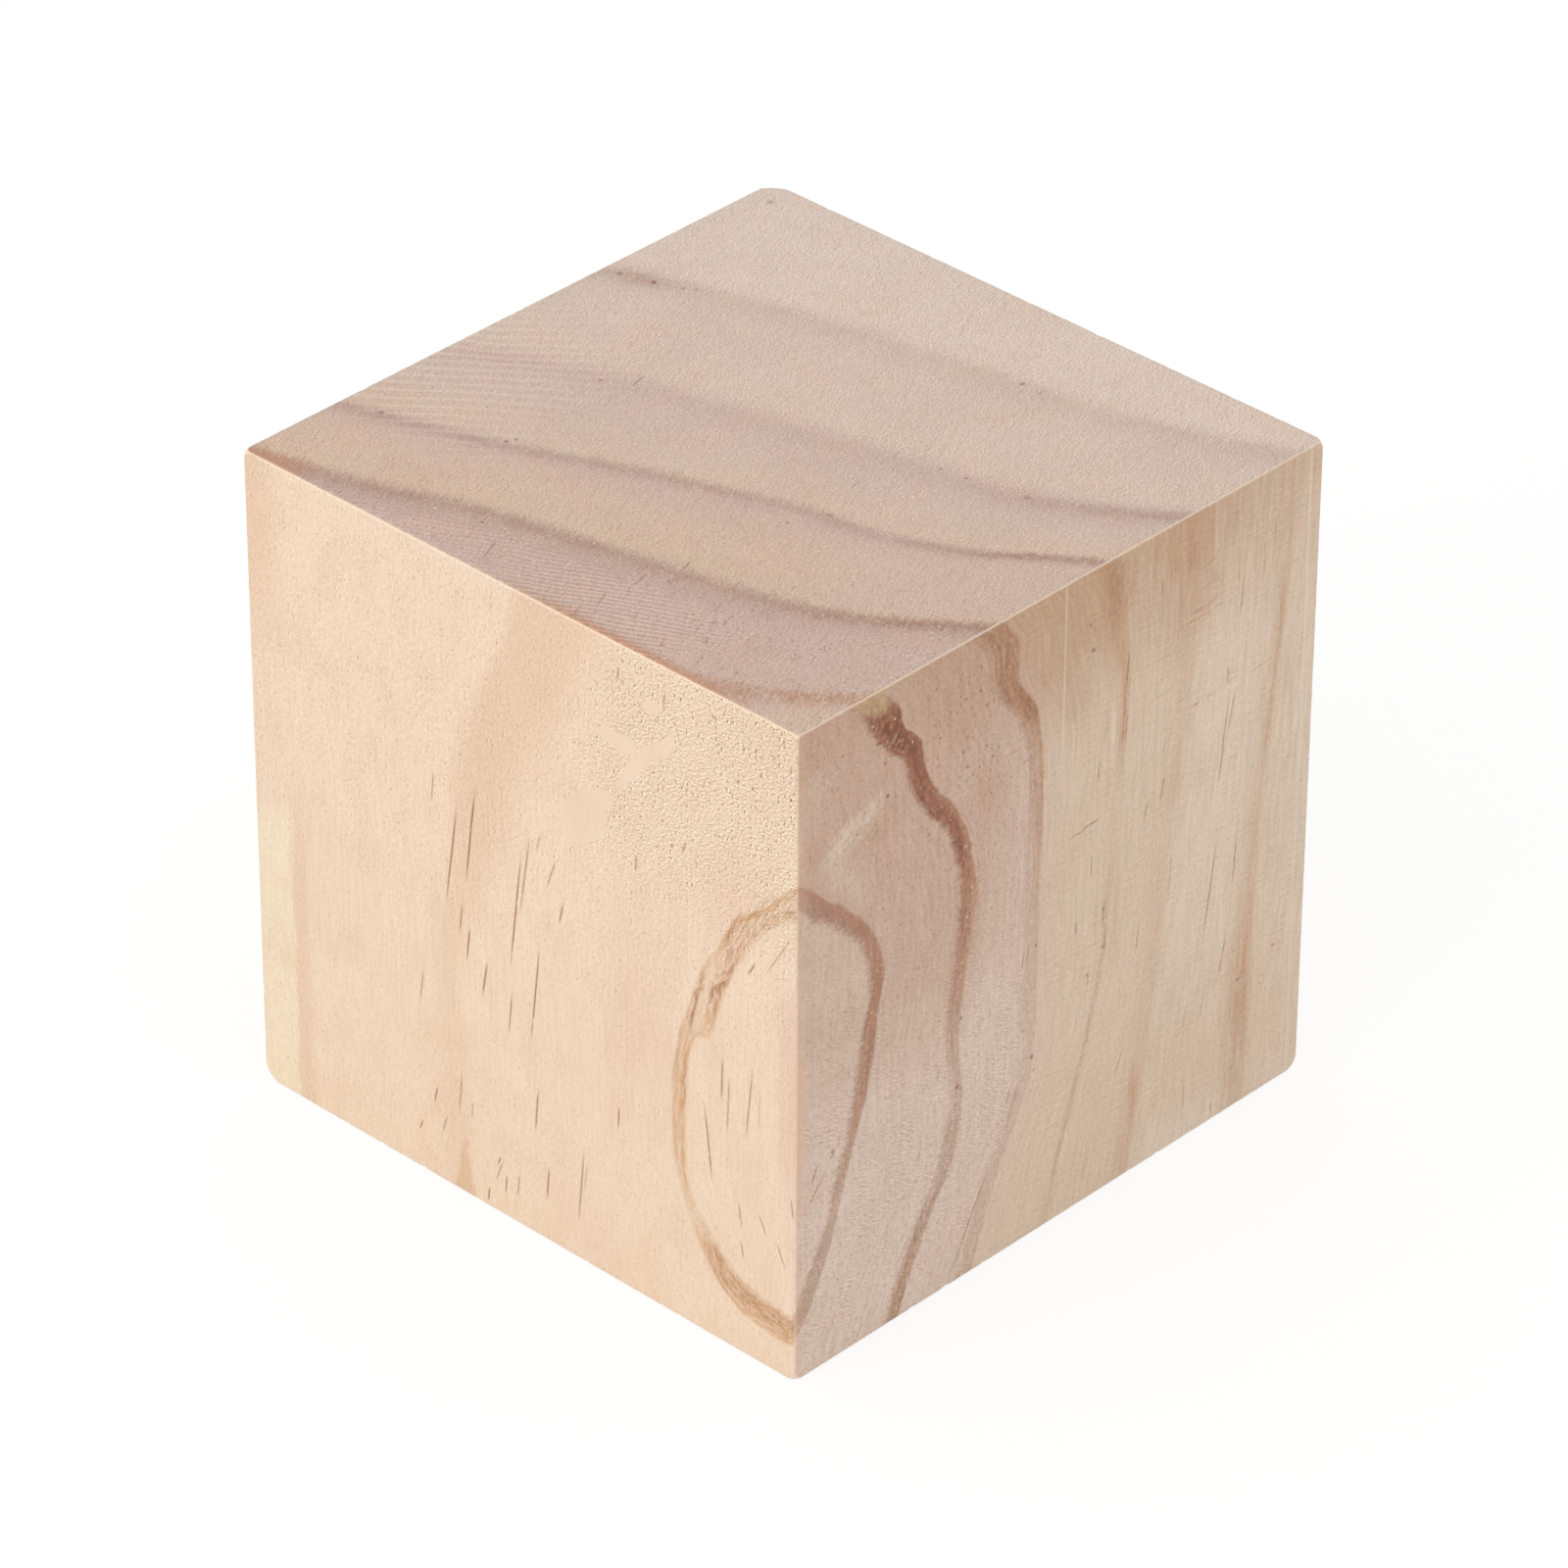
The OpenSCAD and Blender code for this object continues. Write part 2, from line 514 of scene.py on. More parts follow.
def specks(across, up, size, shape, chance, radius, shift=0.0):
    """Scattered small marks of all sizes: the mark, and a painted highlight just beside it."""
    flat = spot.join(across * (1 / size) + shift, up * (1 / (size * shape)), 0.0)
    cell = flat.node("ShaderNodeTexVoronoi", {"voronoi_dimensions": "2D"}, {"Vector": flat, "Scale": 1.0})
    luck = cell.other("Color").parts()[0].rise(1 - chance, 1)
    wide = luck * radius
    offset = flat.vector("SUBTRACT", flat, cell.other("Position"))
    beside = offset.vector("DISTANCE", offset, (radius, 0, 0), output="Value")
    return cell.fall(wide * 0.3, wide + 0.01), beside.fall(wide * 0.3, wide + 0.01)


# The growth rings. Each is a face through the block, given by where the outer side of
# its dark wood meets the front (z, x) and the top (y, x). Bark is to the right.
RING_1 = (
    [(0, 11.7), (5.4, 14), (9, 16), (12, 17.9), (14.4, 18.6), (18, 18.9), (23, 18.4), (30, 19.1),
     (33.6, 19.8), (36, 20.1), (40.8, 19.4), (43.2, 18.7), (45, 17.8), (46.2, 17.1), (48, 15.5),
     (51, 14.1), (53.2, 13.6), (54.4, 12.8), (55.4, 11.7), (57.6, 10.9), (60, 8)],
    [(0, 8), (5, 4), (9, 1.8), (12, 0.6), (30, -6), (60, -11)],
)
RING_2 = (
    [(0, 20.3), (5, 22), (10, 24), (14.4, 26.3), (18, 27.3), (30, 27.4), (45, 27.6), (48, 27.2),
     (50.4, 26.6), (51.6, 25.9), (53, 24.9), (54.6, 24.4), (57, 24.4), (58.4, 23.7), (60, 22.6)],
    [(0, 22), (3, 19.8), (8, 16), (12, 13.8), (20, 11.3), (30, 9), (42, 6), (50, 3.2), (60, 0.4)],
)
RING_3 = (
    [(0, 29.2), (6, 30.6), (11, 32.2), (18, 34.2), (24, 35.5), (30, 36), (36, 36.4), (44, 37.3),
     (51, 37.1), (60, 34.6)],
    [(0, 34.6), (4, 31.8), (8, 28.8), (14, 25.9), (24, 22.9), (34, 19.4), (46, 14.8), (60, 10.3)],
)
RING_4 = (
    [(0, 38.8), (7, 40), (14, 41.2), (20, 42), (33, 43.2), (45, 45), (52, 45.5), (60, 45.4)],
    [(0, 45.4), (6, 41.2), (13, 37.8), (24, 35.1), (36, 32.1), (48, 28.6), (60, 23.4)],
)
RING_5 = (
    [(0, 53.1), (12, 53.4), (20, 53.6), (30, 54.2), (42, 55.5), (50, 56.3), (60, 57.4)],
    [(0, 57.4), (6, 54.8), (15, 51.8), (30, 48.9), (44, 45.8), (60, 40.2)],
)
RING_6 = (
    [(0, 66), (30, 69), (60, 72)],
    [(0, 72), (20, 66), (40, 61.6), (52, 59.4), (60, 56.8)],
)


# The share of its wander along z that a ring loses with each mm towards the back
RING_EVENING = 0.006


def ring_face(front, top):
    """How far along x a ring lies, from its lines on the front and the top."""
    rim = top[0][1]
    return curve(y, top) + (curve(z, front) - rim) * (1 - y * RING_EVENING)


wander = noise(spot, 6, (1, 1, 3))
fray = noise(spot, 0.6, (1, 1, 1.6), 2.0, 40.0)
x_frayed = x + wander.swing(0.3) + fray.swing(0.45)
rings = [ring_face(*ring) for ring in (RING_1, RING_2, RING_3, RING_4, RING_5, RING_6)]
past_1, past_2, past_3, past_4, past_5, past_6 = (x_frayed - ring for ring in rings)

# How many rings have been passed, counted from the pith: 0 inside the inmost, up to 6
INMOST_WIDTH = 12
count = 0
for inner, outer in zip([rings[0] - INMOST_WIDTH] + rings[:-1], rings):
    count = x_frayed.rise(inner, outer, "LINEAR") + count


def by_ring(points):
    """A line drawn by the count of rings."""
    return curve(count, points, 0, 6)


# The fibres follow the rings, so they are drawn on a place counted in rings
RING_WIDTH = 9
ringwise = spot.join(count * RING_WIDTH, y, z)
fibre = noise(ringwise, 0.3, (1, 1, 14), 2.0)
cloud = noise(spot, 7, (1, 1, 2), 1.0, 20.0)
mottle = noise(spot, 0.5, (1, 1, 1.4), 2.0, 81.0)
warmth = noise(spot, 3.5, (1, 1, 1.5), 2.0, 64.0)


# The inmost ring closes in a loop round the front left edge. Its outline is drawn by
# angle round the loop's middle: how far out it lies, as a share of a plain ellipse.
LOOP_MIDDLE = 25.2
LOOP_HALF_HEIGHT = 21
LOOP_FRONT = 9
LOOP_LEFT = 12.6
LOOP_OUTSIDE_FRONT = [
    (-90, 1), (-78, 0.91), (-67, 0.84), (-56, 0.79), (-46, 0.755), (-36, 0.737), (-25, 0.755),
    (-15, 0.8), (-6, 0.87), (2, 0.93), (8, 0.985), (14, 1.035), (19, 1.115), (24, 1.17), (28, 1.165),
    (32, 1.14), (42, 1.07), (49, 1.02), (57, 0.985), (69, 0.955), (79, 0.98), (90, 1.02),
]
LOOP_INSIDE_FRONT = [
    (-90, 0.885), (-81, 0.78), (-68, 0.71), (-54, 0.675), (-36, 0.63), (-23, 0.67), (-12, 0.695),
    (-2, 0.735), (6, 0.79), (14, 0.85), (19, 0.945), (25, 1.01), (32, 1.01), (43, 0.96), (52, 0.91),
    (63, 0.87), (74, 0.86), (84, 0.89), (90, 0.94),
]
LOOP_OUTSIDE_LEFT = [
    (-90, 1.03), (-72, 1.076), (-65, 1.108), (-51, 1.138), (-28, 1.138), (-18, 1.1), (-6, 1.035),
    (5, 0.995), (12, 0.955), (20, 0.92), (33, 0.9), (41, 0.87), (46, 0.875), (58, 0.894), (65, 0.886),
    (71, 0.89), (78, 0.925), (90, 1.02),
]
LOOP_INSIDE_LEFT = [
    (-90, 0.91), (-75, 0.935), (-61, 0.99), (-53, 1.02), (-45, 1.03), (-34, 1.07), (-23, 1.02), (-7, 0.94),
    (0, 0.915), (8, 0.86), (14, 0.74), (24, 0.72), (42, 0.725), (61, 0.77), (77, 0.82), (90, 0.88),
]

reach = (x * x + y * y) ** 0.5
to_front = x / (x + y + 0.01)
across = reach / (to_front * (LOOP_FRONT - LOOP_LEFT) + LOOP_LEFT)
rise = (z - LOOP_MIDDLE) * (1 / LOOP_HALF_HEIGHT)
out = (across * across + rise * rise) ** 0.5
angle = rise.maths("ARCTAN2", rise, across) * (180 / pi)


def by_angle(points):
    """A line drawn by the angle round the loop, from its foot at -90 to its crown at 90."""
    return curve(angle, points, -90, 90)


def loop_face(front, left):
    """How far outside a face of the loop a place lies, in mm."""
    edge_front = by_angle(front)
    edge_left = by_angle(left)
    return (out - (edge_left + (edge_front - edge_left) * to_front)) * loop_step


slope_across = across / (LOOP_LEFT - to_front * (LOOP_LEFT - LOOP_FRONT))
slope_up = rise / LOOP_HALF_HEIGHT
loop_step = out / (slope_across ** 2 + slope_up ** 2) ** 0.5
comb = noise(spot, 0.4, (3, 3, 1), 1.0, 70.0)
loop_out = loop_face(LOOP_OUTSIDE_FRONT, LOOP_OUTSIDE_LEFT) + fray.swing(0.3)
loop_in = loop_face(LOOP_INSIDE_FRONT, LOOP_INSIDE_LEFT) + comb.swing(to_front * 1.1)
in_loop = loop_in.rise(-0.55, 0.4) * loop_out.fall(-0.15, 0.2)
loopwise = spot.join(angle * (LOOP_HALF_HEIGHT * pi / 180), loop_out, 0.0)
loop_fibre = noise(loopwise, 0.3, (6, 1, 1), 2.0)


# The front and the back, cut nearly along the rays. The rings show as upright lines,
# red brown by the heart and fainter towards the bark, over short fuzzy cross fibres.
CREAM = srgb(226, 202, 177)
PINK_CREAM = srgb(225, 201, 184)
PALE = srgb(233, 214, 193)
SCUFF_AND_HIGHLIGHT = srgb(244, 230, 212)
WORN_EDGE_AND_HIGHLIGHT = srgb(248, 226, 202)
STAINED = (0.79, 0.65, 0.55, 1)
RING_RIM = srgb(204, 156, 122)
RING_CORE = srgb(116, 62, 38)
RING_SHEEN = srgb(206, 154, 112)
RUST = srgb(176, 106, 60)
OCHRE_SPOT = srgb(204, 172, 124)
RING_2_BROWN = srgb(172, 122, 86)
AMBER = srgb(190, 124, 66)
THIN_LINE = srgb(176, 124, 84)
STREAK_BROWN = srgb(178, 126, 84)
BLOTCH_BROWN = srgb(150, 112, 70)
PINK_THREAD = srgb(206, 150, 142)
RESIN = srgb(166, 92, 36)
PITCH = srgb(140, 84, 50)
WARM_EDGE = srgb(232, 190, 158)

# The marks of the front run through to the back, where they lie further left
DRIFT_TO_LEFT = 0.3
u = x + y * DRIFT_TO_LEFT
by_heart = count.fall(1.7, 2.3)
front = Coat(over(CREAM, PINK_CREAM, by_heart))
lighter = by_ring([(0, 0), (3.9, 0), (4.3, 0.7), (4.7, 0.6), (5, 0.1), (5.4, 0.4), (6, 0.3)])
lighter = lighter * (z.band(6, 24, 44, 56) + z.fall(0, 6)) + z.fall(0, 5) * 0.2
front.lay(PALE, lighter)

stain_middle = by_ring([(0, 0.42), (0.4, 0.68), (1, 0.7), (1.2, 0.45), (1.9, 0.25), (2.3, 0.05), (6, 0)])
stain_top = by_ring([
    (0, 0.8), (0.5, 0.78), (1, 0.75), (1.3, 1.02), (2, 1.05), (3, 0.95), (3.3, 0.68), (3.7, 0.7), (4, 0.82),
    (4.2, 0.52), (4.9, 0.36), (5.2, 0.12), (6, 0.05),
])
high = z.rise(43, 58)
upright = noise(spot, 0.5, (1, 1, 12), 2.0, 70.0)
stain = stain_middle * z.rise(18, 34) * (1 - high) + stain_top * high
stain = stain * (cloud.swing(1.2) + 1) + warmth.swing(0.35)
stain = stain + upright.swing(1 - by_heart) * (high * 1.3 + 0.7) + mottle.swing(high * 0.5 + 0.2)
STAINS = [
    ((21, 45), (3.2, 6), 0.45), ((31, 48), (3, 5), 0.25), ((1.8, 48), (2.4, 4), 0.3),
    ((21.6, 24), (4, 7), -0.3), ((20.5, 59), (3, 3), 0.35), ((1.5, 17.5), (4, 4.5), 0.2),
]
for middle, size, level in STAINS:
    stain = ellipse(u, z, middle, size) * level + stain
stain = z.rise(54, 59) * 0.2 + stain
front.lay(STAINED, stain, "MULTIPLY")
rubbed = noise(turned("Y", 25), 0.5, (6, 6, 1), 2.0, 44.0)
smear = ellipse(u, z, (2.4, 54.6), (2.4, 2.4)) * 0.4
smear = smear.higher(ellipse(u, z + u * -0.42, (6.2, 46.1), (6, 2.3))) * rubbed.rise(0.2, 0.65)
front.lay(SCUFF_AND_HIGHLIGHT, smear * 0.5)

# Dark wood of the rings: its width, strength and colour change up the fibres. The side
# towards the heart is fuzzy, and a lighter rim runs along the other
ring_tone = spot.node(
    "ShaderNodeValToRGB",
    {"stops": [(0, srgb(184, 144, 112)), (0.15, srgb(180, 144, 120)), (0.3, srgb(182, 142, 114)),
               (0.5, srgb(172, 124, 96)), (0.65, srgb(168, 116, 88)), (0.7, srgb(154, 98, 74)),
               (0.78, srgb(160, 106, 80)), (0.92, srgb(150, 92, 62))]},
    {"Fac": z / SIDE_MM},
)
fuzz = noise(spot, 0.3, (8, 8, 1), 2.0, 5.0)
grit = noise(spot, 0.26, (1, 1, 1.5), 2.0, 55.0)
knotty = mottle.swing(0.9) + grit.swing(0.6) + fibre.swing(0.9)
ring_wood = shade(ring_tone, knotty)
glint = grit.rise(0.64, 0.72)
ticks = grit.fall(0.34, 0.4) * mottle.fall(0.42, 0.54)

loop_fill = curve(
    z, [(0, 0.6), (8, 0.7), (14, 0.7), (17, 0.8), (24, 0.84), (36, 0.8), (42, 0.68), (46, 0.6), (60, 0.6)]
)
loop_rim = loop_out.rise(-1.3, -0.4)
front.lay(ring_wood, in_loop * loop_fill * (mottle * 0.7 + 0.65 - loop_rim * 0.12))
front.lay(RUST, loop_rim * loop_out.fall(-0.4, 0.1) * z.rise(16, 26) * 0.3)
loop_glow = loop_out.band(-0.3, 0, 0, 1.4) * z.rise(34, 42) * loop_in.rise(-0.5, 0.5)
front.lay(AMBER, loop_glow * 0.2)

width_1 = curve(
    z,
    [(0, 1.6), (6, 1.6), (12, 1.9), (16, 1.7), (20, 1.2), (24, 1.5), (30, 1.6), (36, 1.8), (41, 1.7),
     (43.2, 1.7), (45, 2), (46.2, 2.5), (47.2, 2.1), (49.2, 2), (51.6, 1.9), (53.2, 2.7), (54.2, 3.2),
     (55.2, 3), (57.6, 3.4), (60, 3.2)],
)
level_1 = curve(
    z,
    [(0, 0.82), (6, 0.8), (10, 0.65), (14, 0.52), (20, 0.45), (26, 0.56), (32, 0.74), (38, 0.86), (41, 1),
     (57, 1), (58.4, 0.5), (60, 0.25)],
)
fuzzy_1 = past_1 + fuzz.swing(1.3 - z.band(43, 46, 52, 54) * 0.6) + width_1
line_1 = fuzzy_1.rise(-0.5, 0.45) * past_1.fall(-0.2, 0.2)
front.lay(ring_wood, line_1 * level_1)
rim_1 = past_1.band(-0.9, -0.35, -0.15, 0.15) * z.band(24, 30, 45, 50)
front.lay(RING_RIM, rim_1 * 0.45)
core_1 = abs(past_1 + width_1 * 0.5).fall(width_1 * 0.1, width_1 * 0.5) * z.band(50, 54, 56.5, 58)
front.lay(RING_CORE, core_1 * mottle.rise(0.4, 0.6) * 0.8)
front.lay(RING_SHEEN, line_1 * z.rise(51, 54) * mottle.fall(0.36, 0.5) * 0.4)
GLINTS = [
    (10.6, 56.7, 0.17, 1), (12.6, 53.7, 0.16, 0.9), (11.5, 53.3, 0.14, 0.7), (18.8, 41.3, 0.17, 0.9),
    (19.1, 34.6, 0.15, 0.8), (8.2, 57.1, 0.15, 0.8), (9.4, 37.7, 0.15, 0.6),
]
# Painted glints: small highlights on the ring, in the loop and at listed spots
glints = (line_1.higher(in_loop) * glint * 0.26).higher(dots(x, z, GLINTS) * 0.6)
front.lay(SCUFF_AND_HIGHLIGHT, glints)
ochre = ellipse(x + z * 0.8, z, (55.5, 59.6), (2.0, 2.3), 0.7)
front.lay(OCHRE_SPOT, ochre * fray.rise(0.3, 0.6) * 0.8)
slashes = noise(turned("Y", 50), 0.2, (6, 6, 1), 1.0, 33.0).rise(0.5, 0.68)
slashed = ellipse(x, z, (8.4, 57.2), (1.7, 1.3)).higher(ellipse(x, z, (10.3, 54.8), (1.5, 1)))
front.lay(SCUFF_AND_HIGHLIGHT, slashes * slashed * 0.35)

width_2 = curve(
    z, [(0, 1.9), (10, 1.7), (17, 1.9), (30, 1.4), (45, 1.4), (51, 1.6), (53, 1.8), (57, 2.4), (60, 3)]
)
fuzzy_2 = past_2 + fuzz.swing(1.2) + width_2
line_2 = fuzzy_2.rise(-0.5 - high * 1.2, 0.5) * past_2.fall(-0.2, 0.25)
level_2 = curve(
    z,
    [(0, 0.26), (14, 0.2), (18, 0.16), (22, 0.22), (30, 0.22), (36, 0.26), (41, 0.42), (46, 0.42),
     (49, 0.55), (51, 0.9), (54, 0.75), (57, 0.72), (60, 0.45)],
)
front.lay(shade(RING_2_BROWN, knotty * 1.4), line_2 * level_2)
rim_2 = abs(past_2 + 0.25).fall(0.05, 0.35) + abs(past_2 + 1.5).fall(0.05, 0.3)
front.lay(AMBER, rim_2 * z.band(20, 42, 47, 53) * fibre.rise(0.3, 0.6) * 0.4)

# The outer rings: the width of their dark wood, and how strongly it shows, up the fibres
for past, width, level in [
    (past_3, [(0, 0.9), (8, 0.7), (20, 0.8), (26, 0.8), (40, 1), (50, 1.2), (54, 1.8), (60, 2.2)],
     [(0, 0.2), (10, 0.16), (20, 0.12), (26, 0.1), (38, 0.12), (42, 0.4), (51, 0.4), (60, 0.42)]),
    (past_4, [(0, 2.4), (20, 2.4), (36, 2.2), (48, 4), (60, 5.5)],
     [(0, 0.2), (7, 0.34), (12, 0.26), (20, 0.2), (30, 0.14), (42, 0.14), (48, 0.2), (54, 0.15), (60, 0.16)]),
    (past_5, [(0, 3.2), (12, 3.4), (18, 2.6), (24, 1.8), (36, 1.1), (44, 0.9), (60, 1.3)],
     [(0, 0.16), (6, 0.24), (13, 0.42), (18, 0.34), (26, 0.22), (36, 0.2), (42, 0.26), (46, 0.3),
      (52, 0.26), (60, 0.2)]),
    (past_6, [(0, 2), (60, 2.1)], [(0, 0.3), (60, 0.31)]),
]:
    wide = curve(z, width)
    ragged = past + fuzz.swing(0.9)
    line = ragged.band(-wide - 1, -wide * 0.2, -0.3, 0.4)
    front.lay(AMBER, line * curve(z, level) * (upright * 1.5 - 0.05))
for past, low, top, level in [(past_3, 1, 34, 0.45), (past_5, 28, 52, 0.36)]:
    thin = abs(past + 0.3).fall(0.1, 0.45) * z.band(low, low + 5, top - 6, top)
    front.lay(THIN_LINE, thin * (upright + mottle * 2 - 1) * level)

FRONT_STREAKS = [
    ((36.9, 46.6), (0.4, 5.5), 0.35), ((36.6, 43), (0.3, 2.5), 0.3), ((44.2, 55), (0.8, 7), 0.25),
    ((43, 52), (2.2, 9), 0.15), ((52.2, 9), (2.2, 15), 0.3), ((39.2, 7.5), (0.7, 5), 0.3),
    ((53.2, 24), (0.8, 11), 0.2), ((55.6, 46), (0.45, 7), 0.12), ((36.5, 26), (0.8, 8), 0.2),
    ((43.4, 36), (1, 5), 0.15), ((40.2, 57), (0.5, 5), 0.2), ((34.9, 45), (0.5, 3.5), 0.25),
]
streaks = 0
for middle, size, level in FRONT_STREAKS:
    streaks = (ellipse(u, z, middle, size) * level).higher(streaks)
streaks = streaks * (upright.rise(0.35, 0.62) * 0.6 + fray.rise(0.4, 0.6) * 0.4 + 0.2)
front.lay(STREAK_BROWN, streaks)
blotches = ellipse(u, z, (35.3, 57.5), (1.7, 7)) * (mottle * 2 - 0.4)
front.lay(BLOTCH_BROWN, blotches * 0.5)
pale_strip = ellipse(u, z, (35.7, 44.5), (0.45, 6))
front.lay(SCUFF_AND_HIGHLIGHT, pale_strip * 0.3)

FRONT_CANALS = [
    (37.3, 50.8, 37, 47.2, 0.9), (37, 46.6, 36.7, 42, 1), (37.3, 45, 37.1, 42.6, 0.7),
    (50.1, 54, 50.1, 51, 0.5), (50.8, 51.6, 50.4, 48, 0.7), (49.6, 41.4, 48.9, 35.4, 0.8),
    (49.2, 43.8, 49.2, 42, 0.9), (50.2, 41.4, 49.6, 37.2, 0.6), (49.2, 37, 48.7, 33, 0.8),
    (48.8, 28, 47.2, 18, 0.9), (51.3, 27.6, 50.9, 22.2, 0.9), (50.4, 18, 49.5, 13.8, 0.8),
    (45.4, 13, 45.1, 11, 0.5), (45.6, 6, 45.6, 3, 0.4), (49.2, 1.8, 49.2, 0.6, 0.6),
    (53.4, 52.2, 53.2, 50.4, 0.5), (54.4, 55.2, 54.4, 52.8, 0.5), (41, 55.6, 41.1, 53.8, 0.6),
    (3.4, 18.6, 1.5, 16.2, 1), (2.6, 19.8, 1.8, 18, 0.9), (4.6, 20.4, 3.9, 19.4, 1),
    (7.8, 1.8, 6.9, 0.3, 0.7), (25.8, 28, 25.6, 26.4, 0.8), (24.5, 15.8, 24.1, 14.2, 0.8),
    (25.4, 15.4, 24.9, 14, 0.7), (26.4, 28.4, 26.2, 27.2, 0.6), (24.6, 13.6, 24.2, 12.6, 0.6),
    (14.2, 15.4, 14, 14, 0.6), (16.2, 22, 15.7, 20.6, 0.6), (5, 21.4, 4.8, 20, 0.5),
    (22.6, 10, 17.4, 0.2, 0.9), (44.7, 57.6, 44.7, 55, 0.6), (34.2, 42, 33.9, 39.8, 0.9),
    (33.6, 33.6, 33.5, 31.2, 0.8), (33.4, 22.6, 33.3, 21, 0.6), (31.8, 28, 31.8, 26.6, 0.8),
    (35.2, 28.5, 35, 26, 0.7), (35.4, 25.6, 35.2, 22.8, 0.8), (40, 35.5, 39.5, 33.5, 0.7),
    (42, 37, 41.5, 34.5, 0.7), (39.6, 24, 39.3, 21.5, 0.6), (38, 13, 37, 10.5, 0.6),
    (34, 5, 33.2, 1.5, 0.5), (43.2, 30, 42.9, 24, 0.4), (47.7, 13.5, 47.4, 11, 0.5),
]
canals = strokes(u + wander.swing(0.8), z, FRONT_CANALS, 0.15) * fray.rise(0.25, 0.5)
RAY_FLECKS = [
    (36.2, 30.8, 36.6, 34.8, 1), (50.7, 44.3, 50.8, 47.5, 0.6), (49.9, 43.4, 50.2, 48.6, 0.5),
    (42, 45, 42.1, 48, 0.5), (50, 55, 50.2, 58, 0.3), (24.6, 31, 24.7, 35, 0.3),
    (47.4, 22.6, 47.5, 25.2, 0.5), (13.8, 45, 13.9, 57, 0.2), (42, 52, 42.2, 55, 0.4),
    (50.4, 45, 51.2, 48.2, 0.5), (52.4, 45.6, 52.9, 48, 0.4), (54.2, 45.2, 54.9, 47.6, 0.5),
    (41.8, 43.8, 42.2, 47.4, 0.5), (44.6, 39.6, 45, 43.2, 0.4), (46, 40.2, 46.3, 42.6, 0.35),
]
flecks = strokes(z + fray.swing(0.5), u, RAY_FLECKS, 0.15) * comb.rise(0.3, 0.5)
FRONT_DOTS = [
    (9.9, 50.1, 0.25, 0.9), (9.6, 53.2, 0.2, 0.8), (6.6, 48.2, 0.18, 0.7), (14.6, 44.4, 0.2, 0.6),
    (15.2, 57.2, 0.18, 0.5), (4.9, 56, 0.18, 0.8), (18.6, 25.4, 0.25, 0.8), (18.3, 19, 0.3, 0.8),
    (27, 17.5, 0.3, 0.8), (27.3, 16.1, 0.2, 0.6), (56.2, 13.9, 0.2, 0.7), (4.1, 20.1, 0.25, 0.7),
    (27.2, 28, 0.2, 0.8), (25.7, 46, 0.2, 0.5), (32.7, 55, 0.25, 0.6), (33.1, 52.6, 0.3, 0.8),
    (35.1, 27.6, 0.2, 0.7), (35.1, 24, 0.18, 0.6), (33.3, 22.2, 0.2, 0.7), (51.9, 12.6, 0.25, 0.7),
]
front.lay(AMBER, flecks * 0.8)
front.lay(RESIN, canals * 0.8)
front.lay(PITCH, dots(u, z, FRONT_DOTS) * 0.8)

# Fibres across the grain, for painted light and shade on their fine bumps
bristle = relief(turned("Y", -20), 0.22, (0, 0, 0.12), (2.6, 2.6, 1), 15.0)
cross = relief(turned("Y", -4), 0.34, (0, 0, 0.2), (7, 7, 1), 25.0)
grain = cross * (1 - by_heart) * (warmth.rise(0.4, 0.6) * 0.16 + 0.05)
bristly = by_heart * (z.fall(20, 46) * warmth.rise(0.35, 0.65) * 0.5 + 0.1) + 0.06
grain = grain + bristle * bristly + fibre.swing(0.38)
grain = grain + upright.swing(z.rise(24, 40) * 0.14 + 0.2) + cloud.swing(0.1) + grit.swing(0.36)
grain = grain + mottle.swing(by_heart * 0.3 + 0.05)
dark_speck, speck_highlight = specks(u, z, 0.75, 1.2, 0.5, 0.2)
crowd = ellipse(u, z, (21, 50), (7.5, 18))
# The grain's own tone with the painted light and shade of the fibres, and a painted highlight beside each
# speck
front.shade(grain + speck_highlight * 0.08)
speckled = by_heart * (z.rise(30, 54) * 0.2 + count.rise(1, 1.3) * 0.12 + 0.16) + crowd * 0.35
front.lay(PITCH, dark_speck * speckled)
front.lay(PITCH, ticks * (by_heart * (crowd * 0.35 + cloud.rise(0.35, 0.6) * 0.25) + 0.08))
pink_threads = upright.rise(0.5, 0.65) * ellipse(u, z, (23.4, 42), (4, 9))
front.lay(PINK_THREAD, pink_threads * 0.6)
# Painted glints in the wood by the heart
front.lay(SCUFF_AND_HIGHLIGHT, glint * by_heart * 0.15)
scratch = abs(x - 29.8).fall(0.03, 0.15) * z.rise(40, 44) + abs(x - 58.5).fall(0.03, 0.2)
front.lay(SCUFF_AND_HIGHLIGHT, scratch * 0.4)
warm_edge = x.fall(0.3, 1.5) * (z.band(14, 22, 28, 34) * 0.4 + 0.3)
front.lay(WARM_EDGE, warm_edge)
# Painted highlight on the eased edges, over lighter worn fibres, stronger where an edge faces up
front.lay(WORN_EDGE_AND_HIGHLIGHT, edge * (by_end * 0.5 + 0.3))


# The left and the right side, cut along the rings, so that little of them shows: broad
# soft bands, fine resin canals, and the loop of the inmost ring. The wood by the top
# front corner is rough, as grain torn by the plane.
STRAW = srgb(228, 210, 182)
ROSE = srgb(218, 187, 165)
PEACH = srgb(219, 188, 160)
OCHRE = srgb(192, 142, 90)
WEDGE_TAN = srgb(204, 166, 128)
FOOT_BROWN = srgb(172, 122, 84)
CROWN_BROWN = srgb(158, 106, 70)
STRIPE_BROWN = srgb(150, 96, 60)
CANAL_BROWN = srgb(140, 80, 44)

